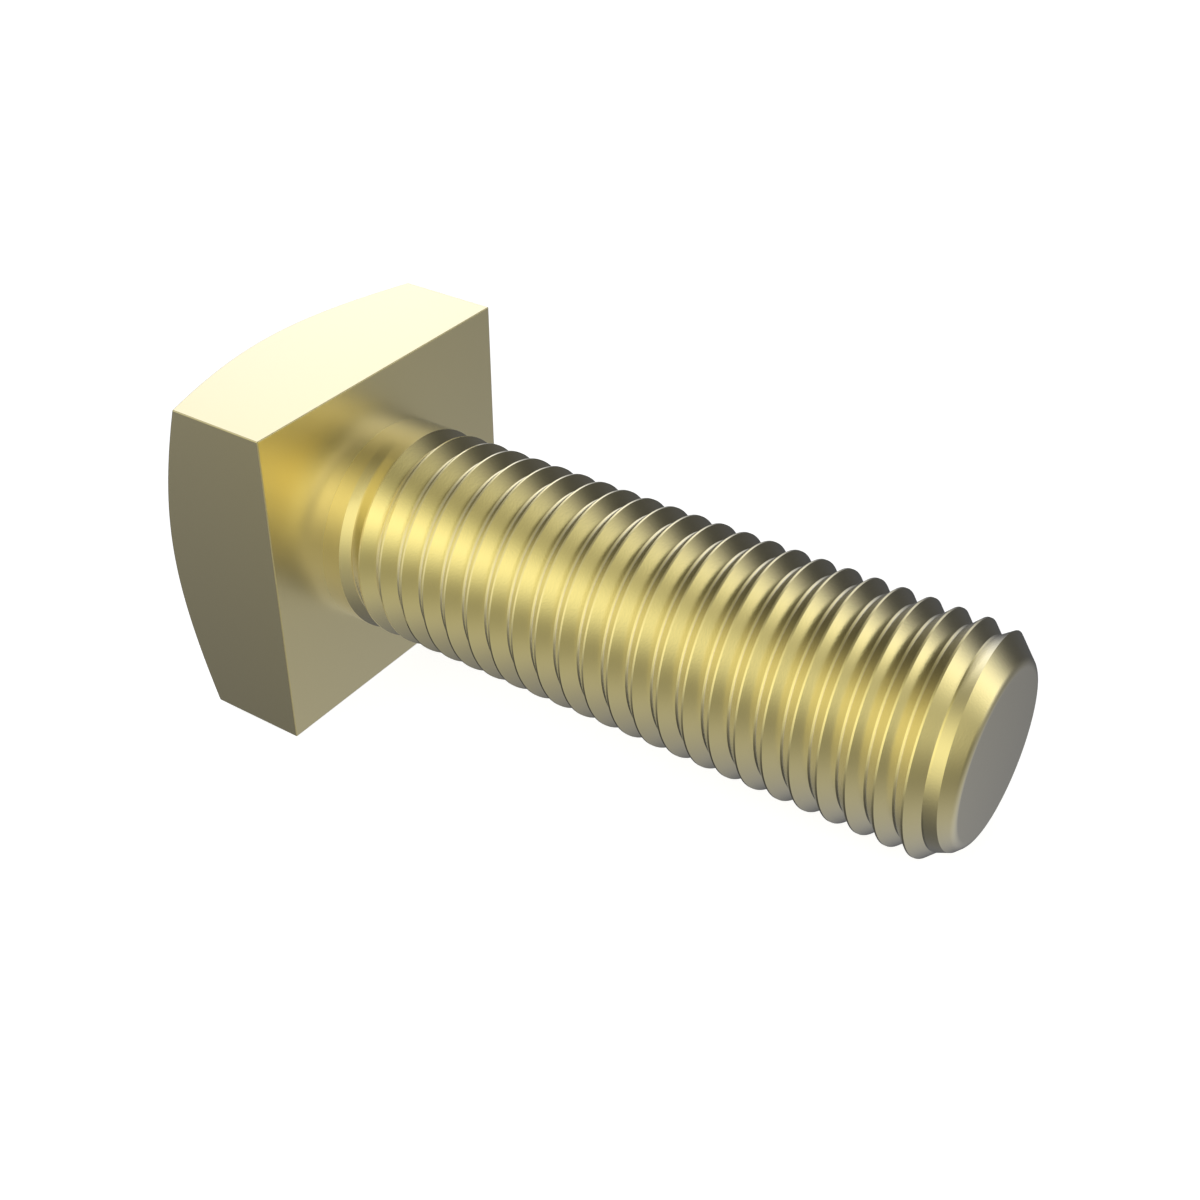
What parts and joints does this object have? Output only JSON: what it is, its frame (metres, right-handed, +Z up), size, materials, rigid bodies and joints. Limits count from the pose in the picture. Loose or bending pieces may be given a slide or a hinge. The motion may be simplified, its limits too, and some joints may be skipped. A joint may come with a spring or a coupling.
{
  "type": "square head bolt",
  "caption": "Heavy square head bolt, threaded up to its head, with a low cone on the head and a chamfered point, lying on its side.",
  "frame": {"origin": "on the table, at the middle of the length and width of the bolt as it lies", "axes": "+X along the bolt from head to tip, seen from above; +Y across the head, parallel to two of its flats; +Z up. The bolt's own axis slopes down 5.74 degrees towards the tip, because it rests on one edge of the head and on the thread near the tip"},
  "size_m": [0.1334, 0.0552, 0.0572],
  "materials": {
    "brass": "satin yellow brass, plain, as turned and milled, with a faint sparkle"
  },
  "bodies": {
    "root": {"bolt": "brass"}
  },
  "joints": []
}
